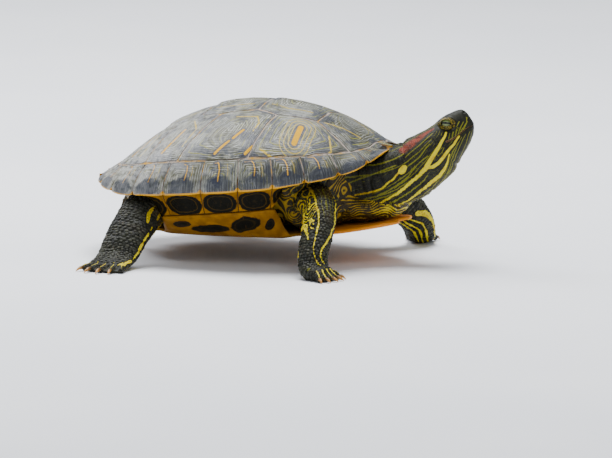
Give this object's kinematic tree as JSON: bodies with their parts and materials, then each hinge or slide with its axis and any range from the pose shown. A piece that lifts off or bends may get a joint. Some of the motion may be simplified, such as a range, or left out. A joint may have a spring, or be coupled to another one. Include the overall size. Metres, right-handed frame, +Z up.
{
  "type": "turtle model",
  "caption": "Life-size slider turtle standing with its neck stretched forward and its head raised; arched shell of separate scutes over a flat yellow underside.",
  "frame": {"origin": "on the floor under the middle of the whole animal's bounding box", "axes": "+X towards the head, +Y towards the animal's left side, +Z up"},
  "size_m": [0.2508, 0.2292, 0.1017],
  "materials": {
    "scute": "satin horn",
    "plastron": "satin horn",
    "skin": "dry scaly skin",
    "foot_skin": "dry scaly skin",
    "head_skin": "smooth damp skin",
    "eye": "wet gloss"
  },
  "bodies": {
    "root": {"nuchal": "scute", "vertebral_1": "scute", "vertebral_2": "scute", "vertebral_3": "scute", "vertebral_4": "scute", "vertebral_5": "scute", "costal_left_1": "scute", "costal_right_1": "scute", "costal_left_2": "scute", "costal_right_2": "scute", "costal_left_3": "scute", "costal_right_3": "scute", "costal_left_4": "scute", "costal_right_4": "scute", "marginal_left_1": "scute", "marginal_right_1": "scute", "marginal_left_2": "scute", "marginal_right_2": "scute", "marginal_left_3": "scute", "marginal_right_3": "scute", "marginal_left_4": "scute", "marginal_right_4": "scute", "marginal_left_5": "scute", "marginal_right_5": "scute", "marginal_left_6": "scute", "marginal_right_6": "scute", "marginal_left_7": "scute", "marginal_right_7": "scute", "marginal_left_8": "scute", "marginal_right_8": "scute", "marginal_left_9": "scute", "marginal_right_9": "scute", "marginal_left_10": "scute", "marginal_right_10": "scute", "marginal_left_11": "scute", "marginal_right_11": "scute", "marginal_left_12": "scute", "marginal_right_12": "scute", "plastron": "plastron", "bridge_left": "plastron", "bridge_right": "plastron", "trunk": "skin", "front_leg_left": "skin", "front_foot_left": "foot_skin", "front_leg_right": "skin", "front_foot_right": "foot_skin", "hind_leg_left": "skin", "hind_foot_left": "foot_skin", "hind_leg_right": "skin", "hind_foot_right": "foot_skin", "tail": "skin", "neck": "skin", "head": "head_skin", "lower_jaw": "head_skin", "eye_left": "eye", "eye_right": "eye"}
  },
  "joints": []
}
